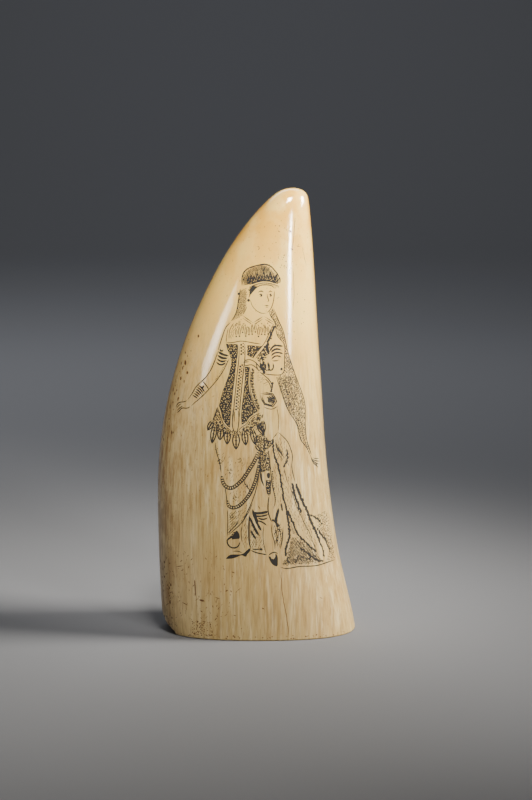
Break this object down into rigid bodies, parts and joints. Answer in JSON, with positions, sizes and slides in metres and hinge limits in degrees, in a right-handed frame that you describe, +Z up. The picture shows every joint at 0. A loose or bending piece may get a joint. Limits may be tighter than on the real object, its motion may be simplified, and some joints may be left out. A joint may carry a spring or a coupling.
{
  "type": "scrimshaw whale tooth",
  "caption": "Upright polished sperm whale tooth with an engraved standing lady, sawn level at the root and hollow underneath.",
  "frame": {"origin": "on the floor, under the middle of the tooth's bounding box; the sawn root stands on it", "axes": "+Z up through the tooth to its tip, -Y out of the engraved face, +X towards the straight edge and the lean of the tip"},
  "size_m": [0.0682, 0.0404, 0.152],
  "materials": {
    "polished_tooth": "satin",
    "lampblack": "matte",
    "old_grime": "matte"
  },
  "bodies": {
    "root": {"tooth": "polished_tooth"}
  },
  "joints": []
}
